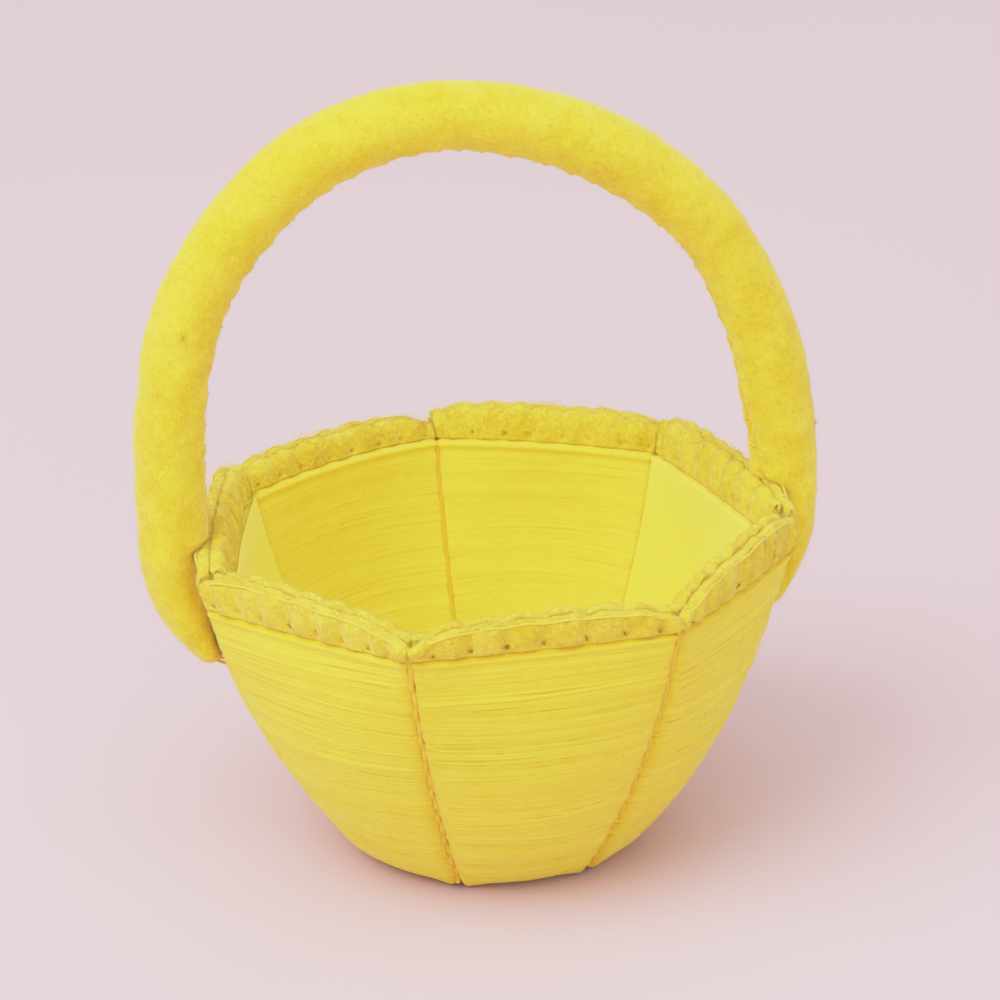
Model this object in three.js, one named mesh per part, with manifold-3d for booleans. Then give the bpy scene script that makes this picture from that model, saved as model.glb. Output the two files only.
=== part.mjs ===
// A small hand-sewn Easter basket: seven felt-and-card petals, each wound with yarn, sewn side by side
// round a seven-sided base, under one felt-covered hoop handle.
// Millimetres, +Z up. The origin is the centre of the underside, and the handle lies in the XZ plane.
import * as THREE from 'three';
import * as BufferGeometryUtils from 'three/addons/utils/BufferGeometryUtils.js';
import Module from 'manifold-3d';

const wasm = await Module();
wasm.setup();

// ---- driving dimensions ----
const PETAL_NAMES = ['front', 'front_right', 'right', 'back_right', 'back_left', 'left', 'front_left'];
const PETALS = PETAL_NAMES.length;
const STEP_ANGLE = (2 * Math.PI) / PETALS;
const HALF_ANGLE = STEP_ANGLE / 2;
const COS = Math.cos(HALF_ANGLE);
const SIN = Math.sin(HALF_ANGLE);
const TAN = Math.tan(HALF_ANGLE);

const GROUND_RADIUS = 22.3; // corner radius of the bowl where it meets the ground
const FLARE = 0.72; // how fast that radius grows at the ground, per mm of height
const FLARE_EASE = 0.005; // how much the growth eases off with height
const GROUND_BULGE = 1.8; // how far a petal bulges out past its corners at the ground
const BULGE_GROWTH = 0.221; // how fast the bulge grows at the ground, per mm of height
const BULGE_EASE = 0.0053; // how much that growth eases off with height
const YARN_TOP = 46.8; // where the winding ends
const RIM_TOP = 51.6; // top of the bare felt, at the middle of a petal
const RIM_ROUND = 3.0; // how far a petal's top edge falls towards its corners
const GAP = 0.3; // air between neighbouring pieces
const BEND_AIR = 0.12; // more air on the inner side, where the bulge brings the layers closer

// The wall's layers, measured level, inwards from the outer face of the yarn.
const WRAP = 0.55;
const PRESSED_FELT = 0.75;
const CARD = 0.6;
const OUTER_FELT_AT = WRAP + GAP;
const CARD_AT = OUTER_FELT_AT + PRESSED_FELT + GAP;
const INNER_FELT_AT = CARD_AT + CARD + GAP + BEND_AIR;
const INNER_WRAP_AT = INNER_FELT_AT + PRESSED_FELT + GAP + BEND_AIR;
const WALL = INNER_WRAP_AT + WRAP;
const LOOSE_FELT = 1.85; // the same felt above the winding, where nothing presses it
const RIM_INSET = 0.2; // the bare felt stands this far inside the yarn's outer face

// Each petal's section has a straight middle, which scales, and a corner of fixed size at each side.
const STRAIGHT = 10;
const CORNER = 4;
const EDGE_ROUND = 2.0; // from the sharp corner to where the rounded yarn edge starts
const PANEL_COLUMNS = 2; // on each side of a petal's middle
const PANEL_SHARES = [];
for (let i = -PANEL_COLUMNS; i <= PANEL_COLUMNS; i += 1) PANEL_SHARES.push(i / PANEL_COLUMNS);
const LAYER_SHARES = [-1.5, ...PANEL_SHARES, 1.5];

// The winding stops lower at one end of these two petals.
const WINDING_DROP = { front_right: { left: 0, right: 2.9 }, front_left: { left: 2.2, right: 0 } };
const NO_DROP = { left: 0, right: 0 };

const THREAD = 0.2; // radius of the sewing thread on the rim
const RIM_STITCHES = 7; // on each petal
const STITCH_FOOT = YARN_TOP + 1.6; // where a stitch comes out of the felt
const SHOULDER = 0.4; // from the felt's top and faces to where a stitch bends over them
const EDGE_THREAD_AT = 1.2; // depth of the thread that runs along the top edge
const RIM_THREAD_END = 1.2; // from a petal's corner to the end of that thread
const EDGE_SHARES = [-1, -0.8, -0.4, 0, 0.4, 0.8, 1];

const LINED_PETALS = ['right', 'left']; // the two that carry the handle
const LINING = 0.6;
const LINING_AIR = 0.5; // from the lining's side to the mitre between petals

const BASE_BOARD = 1.0;
const BASE_SEAM = 0.35;
const BASE_AIR = 0.5; // between the base's edge and the petals

const TUBE = 5.0; // outer radius of the handle
const BORE = 3.3; // radius of the hollow in its felt
const HANDLE_CORE = 3.0;
const HANDLE_OVER_RIM = 1.3; // air between the leg and the petals at the rim, where stitches pass
const HANDLE_OVER_YARN = 0.7; // and lower down
const AIR_FROM = 42; // the heights between which that air grows
const AIR_TO = 46;
const HANDLE_EASE = 0.6; // how fast the leg recovers its round section above the rim
const LEG_TOP = RIM_TOP + 12; // the hoop is round above this height
// The hoop's middle line as [x, z], from the left foot over the top to the right foot.
const HANDLE_LINE = [
  [-41.4, 34.2], [-44.0, 39.5], [-45.9, 47.0], [-46.3, 56.0], [-45.7, 70.2], [-42.3, 85.7],
  [-34.0, 98.7], [-22.3, 108.1], [-7.6, 111.9], [7.5, 109.8], [21.6, 103.3], [33.8, 92.1],
  [41.2, 77.1], [44.8, 60.6], [45.7, 52.0], [45.2, 43.5], [43.6, 37.5], [41.4, 33.4],
];

// ---- materials ----
const material = (color, roughness) => new THREE.MeshStandardMaterial({ color, roughness, metalness: 0 });
const YARN = material('#e6d64b', 0.8);
const FELT = material('#e3d23c', 0.95);
const RIM_THREAD = material('#e2bb3c', 0.7);
const SEAM_THREAD = material('#dfa92f', 0.7);
const LINING_CLOTH = material('#ebe067', 0.85);
const CARDBOARD = material('#b9a178', 0.9);
const CORE_CORD = material('#d9cfae', 0.9);

const basket = new THREE.Group();
basket.name = 'easter_basket';

// ---- helpers ----
function weld(geometry) {
  geometry.deleteAttribute('normal');
  geometry.deleteAttribute('uv');
  const welded = BufferGeometryUtils.mergeVertices(geometry, 1e-4);
  welded.clearGroups();
  return welded;
}

function addMesh(name, geometry, look, parent = basket) {
  geometry.computeVertexNormals();
  const mesh = new THREE.Mesh(geometry, look);
  mesh.name = name;
  parent.add(mesh);
  return mesh;
}

function toManifold(geometry) {
  const vertProperties = new Float32Array(geometry.attributes.position.array);
  const triVerts = new Uint32Array(geometry.index.array);
  return new wasm.Manifold(new wasm.Mesh({ numProp: 3, vertProperties, triVerts }));
}

function joined(geometries) {
  const solids = geometries.map(toManifold);
  const whole = solids.reduce((sum, solid) => sum.add(solid));
  const mesh = whole.getMesh();
  const result = new THREE.BufferGeometry();
  result.setAttribute('position', new THREE.BufferAttribute(new Float32Array(mesh.vertProperties), 3));
  result.setIndex(new THREE.BufferAttribute(new Uint32Array(mesh.triVerts), 1));
  return result;
}

function ring(radius, sides) {
  const shape = new THREE.Shape();
  for (let i = 0; i < sides; i += 1) {
    const angle = (2 * Math.PI * (i + 0.5)) / sides;
    const x = radius * Math.cos(angle);
    const y = radius * Math.sin(angle);
    if (i === 0) shape.moveTo(x, y);
    else shape.lineTo(x, y);
  }
  shape.closePath();
  return shape;
}

function tube(points, radius, sides, steps) {
  const extrudePath = new THREE.CatmullRomCurve3(points, false, 'centripetal');
  return weld(new THREE.ExtrudeGeometry(ring(radius, sides), { extrudePath, steps, bevelEnabled: false }));
}

const cornerRadius = (z) => GROUND_RADIUS + FLARE * z - FLARE_EASE * z * z;
const faceDistance = (z) => cornerRadius(z) * COS;
const halfWidth = (z) => cornerRadius(z) * SIN;

// How far a petal bulges out at a level and at a share of the way from its middle to its side.
function bulge(level, share) {
  const z = Math.min(level, YARN_TOP);
  const most = GROUND_BULGE + BULGE_GROWTH * z - BULGE_EASE * z * z;
  return most * Math.max(1 - share * share, 0);
}

// Turns a place on a petal into a point: x across it, depth inwards from its yarn face, and the level
// that the place would have on a petal whose winding and top edge were straight.
function petalPoint(x, depth, level, drop) {
  const across = THREE.MathUtils.clamp(x / halfWidth(level), -1, 1);
  const fall = THREE.MathUtils.lerp(drop.left, drop.right, (across + 1) / 2);
  let height = level - fall * (Math.min(level, YARN_TOP) / YARN_TOP) ** 2;
  if (level > YARN_TOP) {
    const crown = RIM_TOP - RIM_ROUND * across ** 4;
    const share = Math.min((level - YARN_TOP) / (RIM_TOP - YARN_TOP), 1);
    height = THREE.MathUtils.lerp(YARN_TOP - fall, crown, share) + Math.max(level - RIM_TOP, 0);
  }
  const share = x / (halfWidth(level) - depth * TAN);
  return new THREE.Vector3(x, depth - faceDistance(level) - bulge(level, share), height);
}

// How far out a layer's side may reach at a depth, with some air left to the mitre between petals.
const sideAt = (depth, air) => STRAIGHT + CORNER - depth * TAN - air / COS;

// One layer's plan section, anticlockwise: outer side left to right, then back along the inner side.
// The shares are places from the middle, 0, to the corner zone, 1, and on to the side, 2.
function layerOutline(path, depthOut, depthIn, air, shares) {
  const place = (share, depth) => {
    const corner = Math.max(Math.abs(share) - 1, 0) * (sideAt(depth, air) - STRAIGHT);
    return Math.sign(share) * (Math.min(Math.abs(share), 1) * STRAIGHT + corner);
  };
  path.moveTo(place(-2, depthOut), depthOut);
  shares.forEach((share) => path.lineTo(place(share, depthOut), depthOut));
  path.lineTo(place(2, depthOut), depthOut);
  path.lineTo(place(2, depthIn), depthIn);
  shares.forEach((share) => path.lineTo(place(-share, depthIn), depthIn));
  path.lineTo(place(-2, depthIn), depthIn);
  path.closePath();
  return path;
}

function roundedOutline(shape, depthIn, air) {
  const corner = sideAt(0, air);
  const rightIn = sideAt(depthIn, air);
  const sideX = corner - EDGE_ROUND * SIN;
  const sideY = EDGE_ROUND * COS;
  shape.moveTo(-corner + EDGE_ROUND, 0);
  PANEL_SHARES.forEach((share) => shape.lineTo(share * STRAIGHT, 0));
  shape.lineTo(corner - EDGE_ROUND, 0);
  shape.quadraticCurveTo(corner, 0, sideX, sideY);
  shape.lineTo(rightIn, depthIn);
  PANEL_SHARES.forEach((share) => shape.lineTo(-share * STRAIGHT, depthIn));
  shape.lineTo(-rightIn, depthIn);
  shape.lineTo(-sideX, sideY);
  shape.quadraticCurveTo(-corner, 0, -corner + EDGE_ROUND, 0);
  shape.closePath();
  return shape;
}

// Lifts a plan section through the given levels and bends it to the bowl's curve.
function liftedLayer(shape, levels, drop, reshape = (place) => place) {
  const steps = levels.length - 1;
  const options = { depth: 1, steps, bevelEnabled: false, curveSegments: 3 };
  const geometry = weld(new THREE.ExtrudeGeometry(shape, options));
  const position = geometry.attributes.position;
  for (let i = 0; i < position.count; i += 1) {
    const level = levels[Math.round(position.getZ(i) * steps)];
    const drawn = { x: position.getX(i), depth: position.getY(i), level };
    const { x, depth } = reshape(drawn);
    const straight = halfWidth(level) - CORNER;
    const scaled = (x * straight) / STRAIGHT;
    const shifted = Math.sign(x) * (straight + Math.abs(x) - STRAIGHT);
    const across = Math.abs(x) <= STRAIGHT ? scaled : shifted;
    const point = petalPoint(across, depth, level, drop);
    position.setXYZ(i, point.x, point.y, point.z);
  }
  return geometry;
}

// ---- petals ----
const WRAP_LEVELS = [0.3, 7, 16, 26, 36, 42, YARN_TOP];
const CARD_LEVELS = [1.2, 7, 16, 26, 36, 42, YARN_TOP - 0.4];
const FELT_LEVELS = [1.0, 7, 16, 26, 36, 42, YARN_TOP + 0.1, YARN_TOP + 0.5, RIM_TOP];
const LINING_LEVELS = [7, 16, 26, 36, 42, YARN_TOP - 0.2];
const BARE_FROM = YARN_TOP + 0.3; // the level where the felt leaves the winding and swells

function yarnWrap(drop) {
  const shape = roundedOutline(new THREE.Shape(), WALL, GAP / 2);
  const hole = new THREE.Path();
  shape.holes.push(layerOutline(hole, WRAP, INNER_WRAP_AT, GAP / 2 + WRAP, LAYER_SHARES));
  return liftedLayer(shape, WRAP_LEVELS, drop);
}

function cardCore(drop) {
  const air = GAP / 2 + WRAP + GAP;
  const shape = layerOutline(new THREE.Shape(), CARD_AT, CARD_AT + CARD, air, LAYER_SHARES);
  return liftedLayer(shape, CARD_LEVELS, drop);
}

// Felt is pressed thin under the winding, and full and as wide as the petal above it.
function feltLayer(pressedAt, looseAt, drop) {
  const pressedAir = GAP / 2 + WRAP + GAP;
  const shape = layerOutline(new THREE.Shape(), pressedAt, pressedAt + PRESSED_FELT, pressedAir, LAYER_SHARES);
  const swell = ({ x, depth, level }) => {
    if (level < BARE_FROM) return { x, depth };
    const looseDepth = looseAt + ((depth - pressedAt) / PRESSED_FELT) * LOOSE_FELT;
    if (Math.abs(x) <= STRAIGHT) return { x, depth: looseDepth };
    const share = (Math.abs(x) - STRAIGHT) / (sideAt(depth, pressedAir) - STRAIGHT);
    const reach = STRAIGHT + share * (sideAt(looseDepth, GAP / 2) - STRAIGHT);
    return { x: Math.sign(x) * reach, depth: looseDepth };
  };
  return liftedLayer(shape, FELT_LEVELS, drop, swell);
}

// One thread along the top edge, and hairpins that go over it and down both faces of the felt.
function rimStitching(drop) {
  const clear = 1.6 * GAP + THREAD;
  const feltBack = RIM_INSET + 2 * LOOSE_FELT + GAP;
  const outside = RIM_INSET - clear;
  const inside = feltBack + clear;
  const over = RIM_TOP + clear;
  const shoulder = RIM_TOP - SHOULDER;
  const reach = halfWidth(RIM_TOP) - RIM_THREAD_END;
  const pitch = (2 * reach) / RIM_STITCHES;
  const edge = EDGE_SHARES.map((share) => petalPoint(share * reach, EDGE_THREAD_AT, over, drop));
  const pieces = [tube(edge, THREAD, 3, 2 * RIM_STITCHES)];
  for (let i = 0; i < RIM_STITCHES; i += 1) {
    const x = -reach + pitch * (i + 0.5);
    const line = [
      [outside, STITCH_FOOT], [outside, shoulder], [RIM_INSET + SHOULDER, over],
      [feltBack - SHOULDER, over], [inside, shoulder], [inside, STITCH_FOOT],
    ];
    const points = line.map(([depth, level]) => petalPoint(x, depth, level, drop));
    pieces.push(tube(points, THREAD, 3, 8));
  }
  return joined(pieces);
}

// A thin smooth cloth glued over the inner face, below the rim.
function liningPatch(drop) {
  const at = WALL + GAP + BEND_AIR;
  const shape = layerOutline(new THREE.Shape(), at, at + LINING, LINING_AIR, LAYER_SHARES);
  return liftedLayer(shape, LINING_LEVELS, drop);
}

PETAL_NAMES.forEach((name, index) => {
  const petal = new THREE.Group();
  petal.rotation.z = index * STEP_ANGLE;
  basket.add(petal);
  const drop = WINDING_DROP[name] ?? NO_DROP;
  addMesh(`yarn_wrap_${name}`, yarnWrap(drop), YARN, petal);
  addMesh(`card_core_${name}`, cardCore(drop), CARDBOARD, petal);
  addMesh(`outer_felt_${name}`, feltLayer(OUTER_FELT_AT, RIM_INSET, drop), FELT, petal);
  const innerLoose = RIM_INSET + LOOSE_FELT + GAP;
  addMesh(`inner_felt_${name}`, feltLayer(INNER_FELT_AT, innerLoose, drop), FELT, petal);
  addMesh(`rim_stitching_${name}`, rimStitching(drop), RIM_THREAD, petal);
  if (LINED_PETALS.includes(name)) addMesh(`lining_${name}`, liningPatch(drop), LINING_CLOTH, petal);
});

// ---- the threads that draw neighbouring petals together, one in each groove ----
const SEAM_THREAD_RADIUS = 0.22;
const SEAM_LEVELS = [2, 8, 15, 22, 29, 36, 43];
const SEAM_DEPTH = 0.4; // below the sharp corner that the rounded yarn edges leave open
const SEAM_SWAY = 0.12;

PETAL_NAMES.forEach((name, index) => {
  const group = new THREE.Group();
  group.rotation.z = (index - 0.5) * STEP_ANGLE;
  basket.add(group);
  const sway = (i) => (i % 2 === 0 ? SEAM_SWAY : -SEAM_SWAY);
  const points = SEAM_LEVELS.map((z, i) => new THREE.Vector3(sway(i), SEAM_DEPTH - cornerRadius(z), z));
  addMesh(`seam_thread_${name}`, tube(points, SEAM_THREAD_RADIUS, 4, 12), SEAM_THREAD, group);
});

// ---- base ----
// From the axis to the bowl's inner face at a height and an azimuth, which starts at the front.
function innerReach(z, azimuth) {
  const fromMiddle = azimuth - Math.round(azimuth / STEP_ANGLE) * STEP_ANGLE;
  const share = Math.tan(fromMiddle) / TAN;
  return (faceDistance(z) - WALL + bulge(z, share)) / Math.cos(fromMiddle);
}

const BASE_SIDES = 6 * PETALS;
const azimuths = Array.from({ length: BASE_SIDES }, (_, i) => (2 * Math.PI * i) / BASE_SIDES);

function basePlate(bottom, thickness) {
  const outline = azimuths.map((azimuth) => {
    const reach = innerReach(bottom, azimuth) - BASE_AIR;
    return new THREE.Vector2(reach * Math.sin(azimuth), -reach * Math.cos(azimuth));
  });
  const options = { depth: thickness, steps: 1, bevelEnabled: false };
  const geometry = new THREE.ExtrudeGeometry(new THREE.Shape(outline), options);
  geometry.translate(0, 0, bottom);
  return weld(geometry);
}

const cardBottom = BASE_BOARD + GAP;
const floorBottom = cardBottom + BASE_BOARD + GAP;
const floorTop = floorBottom + BASE_BOARD;
addMesh('base_felt', basePlate(0, BASE_BOARD), FELT);
addMesh('base_card', basePlate(cardBottom, BASE_BOARD), CARDBOARD);
addMesh('floor_felt', basePlate(floorBottom, BASE_BOARD), FELT);

// The thread that sews the floor to the petals lies in the corner between them.
const seamHeight = floorTop + GAP + BASE_SEAM;
const seamLine = azimuths.map((azimuth) => {
  const reach = innerReach(seamHeight, azimuth) - GAP - 2 * BASE_SEAM;
  return new THREE.Vector3(reach * Math.sin(azimuth), -reach * Math.cos(azimuth), seamHeight);
});
const seamCurve = new THREE.CatmullRomCurve3(seamLine, true, 'centripetal');
const baseSeam = new THREE.TubeGeometry(seamCurve, BASE_SIDES, BASE_SEAM, 6, true);
addMesh('base_seam_thread', weld(baseSeam), SEAM_THREAD);

// ---- handle ----
const handlePoints = HANDLE_LINE.map(([x, z]) => new THREE.Vector3(x, 0, z));
const handleCurve = new THREE.CatmullRomCurve3(handlePoints, false, 'centripetal');
const HANDLE_STEPS = 32;
const FOOT_NORMAL_ANGLE = 2 * STEP_ANGLE; // azimuth of the petal behind the right foot, from the front
const FOOT_NORMAL_X = Math.sin(FOOT_NORMAL_ANGLE);
const FOOT_NORMAL_Y = -Math.cos(FOOT_NORMAL_ANGLE);

// The least |x| that the leg may have beside the petal it is sewn to.
function footLimit(y, z) {
  const level = Math.min(z, RIM_TOP);
  const sideways = FOOT_NORMAL_X * y - (FOOT_NORMAL_Y * faceDistance(level)) / FOOT_NORMAL_X;
  const face = faceDistance(level) + bulge(level, sideways / halfWidth(level));
  const rise = THREE.MathUtils.clamp((z - AIR_FROM) / (AIR_TO - AIR_FROM), 0, 1);
  const air = THREE.MathUtils.lerp(HANDLE_OVER_YARN, HANDLE_OVER_RIM, rise);
  const eased = Math.max(z - RIM_TOP, 0) * HANDLE_EASE;
  return (face - FOOT_NORMAL_Y * y) / FOOT_NORMAL_X + air - eased;
}

const LEG_SAMPLES = 200;
const linePoints = handleCurve.getPoints(LEG_SAMPLES);

// Where the hoop's middle line is at a height, on the side of the given sign.
function legMiddle(sign, z) {
  const leg = linePoints.filter((point) => Math.sign(point.x) === sign);
  const nearest = leg.reduce((best, point) => (Math.abs(point.z - z) < Math.abs(best.z - z) ? point : best));
  return Math.abs(nearest.x);
}

// A tube along the hoop whose legs are squeezed flat where they are sewn against the petals.
function pressedTube(shape) {
  const options = { extrudePath: handleCurve, steps: HANDLE_STEPS, bevelEnabled: false };
  const geometry = weld(new THREE.ExtrudeGeometry(shape, options));
  const position = geometry.attributes.position;
  for (let i = 0; i < position.count; i += 1) {
    const x = position.getX(i);
    const z = position.getZ(i);
    const middle = legMiddle(Math.sign(x), z);
    const outside = middle + TUBE;
    const least = footLimit(position.getY(i), z);
    const squeeze = Math.min((outside - least) / (2 * TUBE), 1);
    if (z < LEG_TOP) position.setX(i, Math.sign(x) * (outside - (outside - Math.abs(x)) * squeeze));
  }
  return geometry;
}

const sleeve = ring(TUBE, 10);
sleeve.holes.push(ring(BORE, 8));
addMesh('handle_felt', pressedTube(sleeve), FELT);
addMesh('handle_core', pressedTube(ring(HANDLE_CORE, 8)), CORE_CORD);

// The whip-stitched seam runs along the inner side of the hoop, between the two legs.
const HANDLE_SEAM_RADIUS = 0.28;
const HANDLE_SEAM_SWAY = 0.7;
const HANDLE_SEAM_POINTS = 56;
const HANDLE_SEAM_FROM = 0.14; // share of the hoop's length
const handleSeam = [];
for (let i = 0; i <= HANDLE_SEAM_POINTS; i += 1) {
  const t = THREE.MathUtils.lerp(HANDLE_SEAM_FROM, 1 - HANDLE_SEAM_FROM, i / HANDLE_SEAM_POINTS);
  const point = handleCurve.getPointAt(t);
  const along = handleCurve.getTangentAt(t);
  const inward = new THREE.Vector3(along.z, 0, -along.x);
  point.addScaledVector(inward, TUBE + GAP + HANDLE_SEAM_RADIUS);
  point.y = i % 2 === 0 ? HANDLE_SEAM_SWAY : -HANDLE_SEAM_SWAY;
  handleSeam.push(point);
}
const seamTube = tube(handleSeam, HANDLE_SEAM_RADIUS, 4, HANDLE_SEAM_POINTS);
addMesh('handle_seam_thread', seamTube, RIM_THREAD);

// A loop of thread holds the tip of each foot to the yarn.
const FOOT_THREAD = 0.25;
const FOOT_LOOP = TUBE + 1.5 * GAP + FOOT_THREAD;
const FOOT_LOOP_AT = { left: [-45.2, 37.4], right: [45.7, 37.4] };
const FOOT_SQUASH = 0.68; // the loop is flatter than the round hoop, as the foot is
const FOOT_LOOP_ANGLES = [-65, -40, -15, 15, 40, 65];
for (const [side, [x, z]] of Object.entries(FOOT_LOOP_AT)) {
  const points = FOOT_LOOP_ANGLES.map((degrees) => {
    const angle = THREE.MathUtils.degToRad(degrees);
    const out = Math.abs(x) + FOOT_LOOP * FOOT_SQUASH * Math.cos(angle);
    return new THREE.Vector3(Math.sign(x) * out, FOOT_LOOP * Math.sin(angle), z);
  });
  addMesh(`foot_thread_${side}`, tube(points, FOOT_THREAD, 5, 8), SEAM_THREAD);
}

export default basket;
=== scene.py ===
import math

import bpy
import numpy as np
from mathutils import Matrix, Vector


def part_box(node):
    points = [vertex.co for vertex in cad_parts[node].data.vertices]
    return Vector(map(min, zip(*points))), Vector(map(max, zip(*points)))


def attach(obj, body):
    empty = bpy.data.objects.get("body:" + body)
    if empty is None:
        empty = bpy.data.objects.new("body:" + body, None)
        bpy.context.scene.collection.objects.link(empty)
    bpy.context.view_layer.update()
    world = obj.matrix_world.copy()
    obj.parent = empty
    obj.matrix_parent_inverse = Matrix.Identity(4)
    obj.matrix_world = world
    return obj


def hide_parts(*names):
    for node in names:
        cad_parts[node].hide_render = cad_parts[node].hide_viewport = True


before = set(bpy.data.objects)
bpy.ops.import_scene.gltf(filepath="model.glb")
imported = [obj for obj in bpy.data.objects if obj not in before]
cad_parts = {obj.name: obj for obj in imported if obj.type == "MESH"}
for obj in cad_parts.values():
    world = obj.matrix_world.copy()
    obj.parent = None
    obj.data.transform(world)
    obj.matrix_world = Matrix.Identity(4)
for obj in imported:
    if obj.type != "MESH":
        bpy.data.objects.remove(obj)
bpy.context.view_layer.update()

# Lengths are in millimetres until a mesh is made; MM turns them into the frame's metres.
MM = 0.001
PETALS = ["front", "front_right", "right", "back_right", "back_left", "left", "front_left"]
STEP = 2 * math.pi / len(PETALS)
COS, SIN, TAN = (f(STEP / 2) for f in (math.cos, math.sin, math.tan))
UP = np.array([0.0, 0.0, 1.0])


def low(node):
    return np.array(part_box(node)[0]) / MM


def high(node):
    return np.array(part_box(node)[1]) / MM


# The bowl's shape, as in the CAD: the corner radius and the petals' bulge, as quadratics in height.
CORNER_RADIUS = np.poly1d([-0.005, 0.72, 22.3])
BULGE = np.poly1d([-0.0053, 0.221, 1.8])
YARN_BOTTOM = low("yarn_wrap_front")[2]
YARN_TOP = high("yarn_wrap_front")[2]
RIM_TOP = high("outer_felt_front")[2]
WALL = 4.64  # thickness of a wound petal
SIDE_GAP = 0.02  # from a petal's side to the mitre between petals
# Where a petal differs from the rest, at its left and right end as seen from outside.
WINDING_DROP = {"front_right": (0.0, 2.9), "front_left": (2.2, 0.0)}
WINDING_CROWN = {"back_left": 1.1, "back_right": 0.4}
RIM_FALL = {"right": (2.6, 1.6), "left": (1.0, 2.6), "back_left": (4.4, 2.8), "back_right": (2.4, 2.6)}
RIM_LIFT = {"right": 1.2, "left": 0.4, "back_right": 0.5, "back_left": -0.2}
USUAL_FALL = (3.0, 3.0)


def face(level):
    """How far the middle of an unbulged petal's outer face stands from the axis."""
    return CORNER_RADIUS(level) * COS


def half_width(level):
    return CORNER_RADIUS(level) * SIN


def height_at(name, level, across):
    """The height of a level of the regular petal on this one."""
    drop = WINDING_DROP.get(name, (0.0, 0.0))
    fall = drop[0] + (drop[1] - drop[0]) * (across + 1) / 2
    fall = fall - WINDING_CROWN.get(name, 0.0) * (1 - across**2)
    wound = level - fall * (np.minimum(level, YARN_TOP) / YARN_TOP) ** 2
    ends = RIM_FALL.get(name, USUAL_FALL)
    crown = RIM_TOP + RIM_LIFT.get(name, 0.0) - np.where(across < 0, *ends) * np.abs(across) ** 4
    share = (level - YARN_TOP) / (RIM_TOP - YARN_TOP)
    bare = YARN_TOP - fall + share * (crown - YARN_TOP + fall)
    return np.where(level > YARN_TOP, bare, wound)


def place(name, x, depth, level):
    """Points of a petal drawn at the front: x across it, depth in from its face, and its regular level."""
    x, depth, level = np.broadcast_arrays(x, depth, level)
    bulge = BULGE(np.minimum(level, YARN_TOP))
    share = np.clip(x / (half_width(level) - depth * TAN), -1, 1)
    across = np.clip(x / half_width(level), -1, 1)
    y = depth - face(level) - bulge * (1 - share**2)
    return np.stack([x, y, height_at(name, level, across)], -1)


def add_object(name, data):
    made = bpy.data.objects.new(name, data)
    bpy.context.scene.collection.objects.link(made)
    return made


# ---------------------------------------------------------------- camera, light and floor
CAMERA_AT = (-102.1, -532.3, 277.9)
CAMERA_AZIMUTH, CAMERA_DIP, CAMERA_ROLL = (math.radians(a) for a in (11.07, 22.56, 1.68))
LENS, SENSOR = 144, 36
LIT_MIDDLE = (0, 0, 0.05)  # metres


def add_camera():
    data = bpy.data.cameras.new("camera")
    data.lens, data.sensor_width = LENS, SENSOR
    data.clip_start, data.clip_end = 0.01, 20
    a, d, r = CAMERA_AZIMUTH, CAMERA_DIP, CAMERA_ROLL
    right = Vector((math.cos(a), -math.sin(a), 0))
    forward = Vector((math.sin(a) * math.cos(d), math.cos(a) * math.cos(d), -math.sin(d)))
    upward = right.cross(forward)
    turned_right = right * math.cos(r) - upward * math.sin(r)
    turned_up = right * math.sin(r) + upward * math.cos(r)
    camera = add_object("camera", data)
    basis = Matrix((turned_right, turned_up, -forward)).transposed().to_4x4()
    camera.matrix_world = Matrix.Translation(Vector(CAMERA_AT) * MM) @ basis
    bpy.context.scene.camera = camera


def add_area(name, at, size, power, colour):
    """A round soft light that points at the basket; lengths in metres, power in watts."""
    data = bpy.data.lights.new(name, "AREA")
    data.shape, data.size, data.energy, data.color = "DISK", size, power, colour
    lamp = add_object(name, data)
    lamp.location = at
    lamp.rotation_euler = (Vector(LIT_MIDDLE) - Vector(at)).to_track_quat("-Z", "Y").to_euler()


def add_light():
    world = bpy.data.worlds.new("world")
    bpy.context.scene.world = world
    world.use_nodes = True
    background = world.node_tree.nodes["Background"]
    background.inputs["Color"].default_value = (1.0, 0.965, 0.90, 1)
    background.inputs["Strength"].default_value = 0.98
    add_area("key", (-0.6, -0.35, 0.9), 0.9, 8.6, (1.0, 1.0, 1.06))
    add_area("top", (0.05, -0.35, 1.1), 0.7, 1.9, (1.0, 1.0, 1.0))
    add_area("front", (0.15, -0.95, 0.3), 0.8, 1.4, (1.0, 0.97, 0.9))


# Scene brightness against picture brightness: the camera that this copies holds back its highlights.
FILM_CURVE = [
    (0.0, 0.0), (0.3, 0.3), (0.6, 0.57), (0.76, 0.67), (0.9, 0.735), (1.12, 0.79), (1.6, 0.85), (3.0, 0.93),
]


def set_film():
    view = bpy.context.scene.view_settings
    view.view_transform = "Standard"
    view.use_curve_mapping = True
    mapping = view.curve_mapping
    reach = FILM_CURVE[-1][0]
    mapping.white_level = (reach, reach, reach)
    mapping.extend = "HORIZONTAL"
    points = mapping.curves[3].points
    points[1].location = (1.0, FILM_CURVE[-1][1])
    for x, y in FILM_CURVE[1:-1]:
        points.new(x / reach, y)
    mapping.update()


# ---------------------------------------------------------------- materials
def shader(name):
    """A new material, its Principled shader, and short ways to add a node and to link two sockets."""
    made = bpy.data.materials.new(name)
    made.use_nodes = True
    tree = made.node_tree

    def node(kind, **values):
        new = tree.nodes.new("ShaderNode" + kind)
        for key, value in values.items():
            if hasattr(new, key):
                setattr(new, key, value)
            else:
                new.inputs[key.replace("_", " ")].default_value = value
        return new

    return made, tree.nodes["Principled BSDF"], node, tree.links.new


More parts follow.
